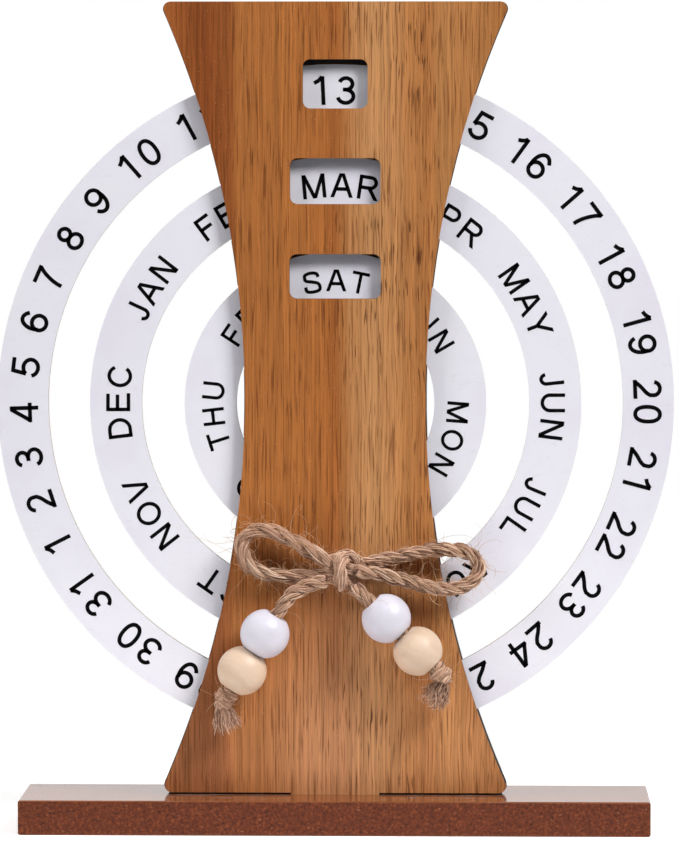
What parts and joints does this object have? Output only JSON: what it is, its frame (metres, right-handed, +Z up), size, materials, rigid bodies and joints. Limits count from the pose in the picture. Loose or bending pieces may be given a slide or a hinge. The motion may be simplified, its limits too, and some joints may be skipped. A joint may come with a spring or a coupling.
{
  "type": "perpetual desk calendar",
  "caption": "Waisted wooden panel on a plank, with concentric lettered rings that turn behind windows to show date, month and weekday, and a glued jute bow with beads.",
  "frame": {"origin": "middle of the plank's underside, on the surface it stands on", "axes": "+X to the right seen from the front, the lettered front faces -Y, +Z up"},
  "size_m": [0.2174, 0.045, 0.266],
  "materials": {
    "plank_board": "glossy wood laminate on top, dark reddish fibreboard on the sides",
    "panel_laminate": "satin honey-brown wood laminate with upright grain, scorched laser-cut edges",
    "spacer_board": "matt, scorched laser-cut edges",
    "ring_board": "matt pale board with a thin grey cut edge",
    "ring_paper": "matt pale lavender-grey printed paper",
    "ring_ink": "matt black printed lettering",
    "jute": "hairy three-strand jute twine",
    "white_lacquer": "glossy white lacquer",
    "bare_wood": "bare pale wood, lightly polished",
    "glue": "cloudy hot glue"
  },
  "bodies": {
    "stand": {"base_plank": "plank_board", "front_panel": "panel_laminate", "back_panel": "panel_laminate", "top_spacer": "spacer_board", "upper_outer_spacer": "spacer_board", "upper_inner_spacer": "spacer_board", "centre_spacer": "spacer_board", "lower_inner_spacer": "spacer_board", "lower_outer_spacer": "spacer_board", "bottom_spacer": "spacer_board", "glue_dab": "glue", "bow_knot": "jute", "bow_loop_left": "jute", "bow_loop_right": "jute"},
    "date_ring": {"date_ring_board": "ring_board", "date_ring_face": "ring_paper"},
    "month_ring": {"month_ring_board": "ring_board", "month_ring_face": "ring_paper"},
    "weekday_ring": {"weekday_ring_board": "ring_board", "weekday_ring_face": "ring_paper"},
    "left_tail": {"tail_left": "jute", "end_knot_left": "jute"},
    "left_white_bead": {"white_bead_left": "white_lacquer"},
    "left_wood_bead": {"wood_bead_left": "bare_wood"},
    "right_tail": {"tail_right": "jute", "end_knot_right": "jute"},
    "right_white_bead": {"white_bead_right": "white_lacquer"},
    "right_wood_bead": {"wood_bead_right": "bare_wood"}
  },
  "joints": [
    {"name": "date_ring_turn", "type": "hinge", "parent": "stand", "child": "date_ring", "pos_m": [0, 0, 0.13735], "axis": [0, 1, 0], "continuous": true},
    {"name": "month_ring_turn", "type": "hinge", "parent": "stand", "child": "month_ring", "pos_m": [0, 0, 0.13735], "axis": [0, 1, 0], "continuous": true},
    {"name": "weekday_ring_turn", "type": "hinge", "parent": "stand", "child": "weekday_ring", "pos_m": [0, 0, 0.13735], "axis": [0, 1, 0], "continuous": true},
    {"name": "left_tail_swing", "type": "hinge", "parent": "stand", "child": "left_tail", "pos_m": [0.0027, -0.0127, 0.084], "axis": [0, -1, 0], "range_deg": [-4, 20]},
    {"name": "left_white_bead_spin", "type": "hinge", "parent": "left_tail", "child": "left_white_bead", "pos_m": [-0.0223, -0.0127, 0.06388], "axis": [-0.5255, 0, -0.8508], "continuous": true},
    {"name": "left_wood_bead_spin", "type": "hinge", "parent": "left_tail", "child": "left_wood_bead", "pos_m": [-0.02961, -0.0127, 0.05205], "axis": [-0.5255, 0, -0.8508], "continuous": true},
    {"name": "right_tail_swing", "type": "hinge", "parent": "stand", "child": "right_tail", "pos_m": [0.0027, -0.0127, 0.084], "axis": [0, 1, 0], "range_deg": [-6, 20]},
    {"name": "right_white_bead_spin", "type": "hinge", "parent": "right_tail", "child": "right_white_bead", "pos_m": [0.01661, -0.0127, 0.06889], "axis": [0.6947, 0, -0.7193], "continuous": true},
    {"name": "right_wood_bead_spin", "type": "hinge", "parent": "right_tail", "child": "right_wood_bead", "pos_m": [0.02668, -0.0127, 0.05846], "axis": [0.6947, 0, -0.7193], "continuous": true}
  ]
}
